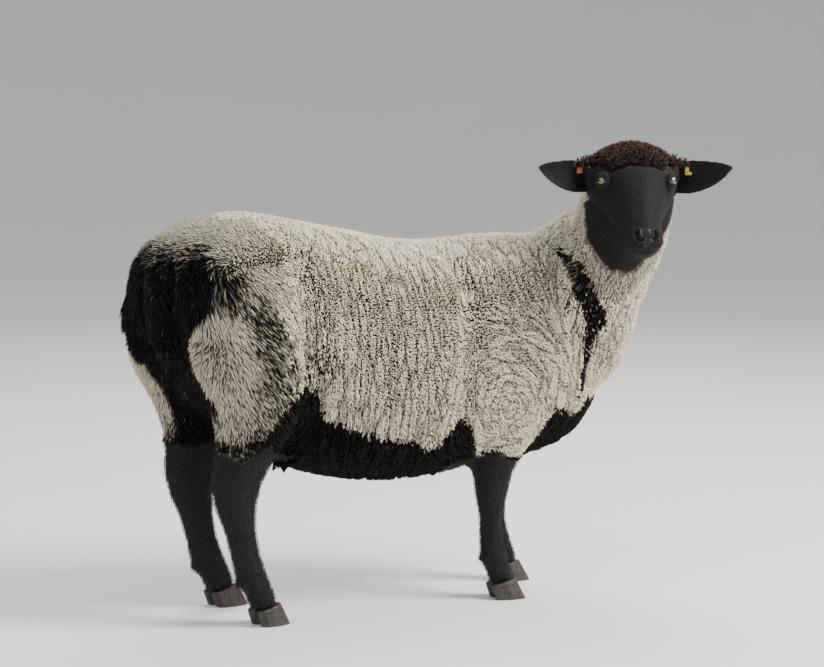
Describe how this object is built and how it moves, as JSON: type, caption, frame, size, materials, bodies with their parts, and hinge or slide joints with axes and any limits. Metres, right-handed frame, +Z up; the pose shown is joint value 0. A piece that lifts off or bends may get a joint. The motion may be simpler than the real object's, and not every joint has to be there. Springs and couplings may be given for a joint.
{
  "type": "sheep",
  "caption": "Life-size black-faced sheep with a short fleece, standing still and looking back over its right shoulder.",
  "frame": {"origin": "on the floor, under the middle of the animal's bounding box", "axes": "+X along the body towards the shoulders, +Y to the animal's left, +Z up; the head looks towards -Y"},
  "size_m": [1.097, 0.6212, 0.9036],
  "materials": {
    "fleece": "short dense matt fleece, cream to grey, black at the rump and belly",
    "black_hair": "short black hair lying flat, with a slight sheen",
    "horn": "dark horn, satin, ringed",
    "eye": "wet, pale yellow iris with a level dark pupil",
    "orange_tag": "moulded, satin",
    "yellow_tag": "moulded, satin"
  },
  "bodies": {
    "root": {"trunk": "fleece", "neck": "fleece", "head": "black_hair", "ear_right": "black_hair", "ear_left": "black_hair", "eye_right": "eye", "eye_left": "eye", "tail": "black_hair", "leg_front_right": "black_hair", "leg_front_left": "black_hair", "leg_hind_right": "black_hair", "leg_hind_left": "black_hair", "claw_front_right_outer": "horn", "claw_front_right_inner": "horn", "claw_front_left_outer": "horn", "claw_front_left_inner": "horn", "claw_hind_right_outer": "horn", "claw_hind_right_inner": "horn", "claw_hind_left_outer": "horn", "claw_hind_left_inner": "horn", "tag_right": "orange_tag", "tag_left": "yellow_tag"}
  },
  "joints": []
}
